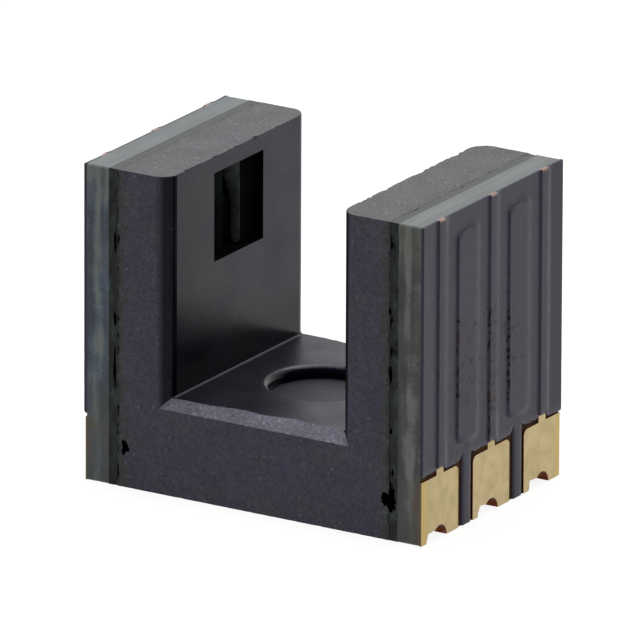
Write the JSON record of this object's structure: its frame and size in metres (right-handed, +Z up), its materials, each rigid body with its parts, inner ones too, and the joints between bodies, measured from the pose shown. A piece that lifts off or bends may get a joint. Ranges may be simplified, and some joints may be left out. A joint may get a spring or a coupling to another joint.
{
  "type": "slot-type photo sensor",
  "caption": "Surface-mount slot-type photo sensor: black U-shaped moulded housing with a square window in each tower, between sawn circuit boards with gold half-hole terminals.",
  "frame": {"origin": "middle of the solder side, on the plane that the part stands on", "axes": "+X across the slot towards the emitter board, +Y along the slot to the rear, +Z up out of the slot"},
  "size_m": [0.006, 0.004, 0.005],
  "materials": {
    "moulded_housing": "black mineral-filled moulding, satin on the moulded slot walls, matt and speckled on the sawn faces",
    "laminate": "glass-epoxy laminate, grey-green streaks on the sawn edges",
    "solder_resist": "dark solder resist, semi-gloss with fine orange peel",
    "copper": "etched copper, tarnished in the half holes and bright where it was sawn",
    "pad_gold": "thin gold over nickel, satin, with light scuffs",
    "adhesive": "dark green-black adhesive, uneven with small voids",
    "detector_chip": "diced silicon",
    "emitter_chip": "diced gallium arsenide",
    "bond_wire": "fine gold wire",
    "clear_resin": "clear moulded epoxy with a green-grey cast"
  },
  "bodies": {
    "root": {"housing": "moulded_housing", "detector_board": "laminate", "detector_resist": "solder_resist", "detector_conductor_front": "copper", "detector_conductor_middle": "copper", "detector_conductor_rear": "copper", "detector_pad_gold_front": "pad_gold", "detector_pad_gold_middle": "pad_gold", "detector_pad_gold_rear": "pad_gold", "detector_shield_front": "copper", "detector_shield_rear": "copper", "detector_adhesive": "adhesive", "detector_chip": "detector_chip", "detector_bond_wire": "bond_wire", "detector_resin": "clear_resin", "emitter_board": "laminate", "emitter_resist": "solder_resist", "emitter_conductor_front": "copper", "emitter_conductor_middle": "copper", "emitter_conductor_rear": "copper", "emitter_pad_gold_front": "pad_gold", "emitter_pad_gold_middle": "pad_gold", "emitter_pad_gold_rear": "pad_gold", "emitter_shield_front": "copper", "emitter_shield_rear": "copper", "emitter_adhesive": "adhesive", "emitter_chip": "emitter_chip", "emitter_bond_wire": "bond_wire", "emitter_resin": "clear_resin"}
  },
  "joints": []
}
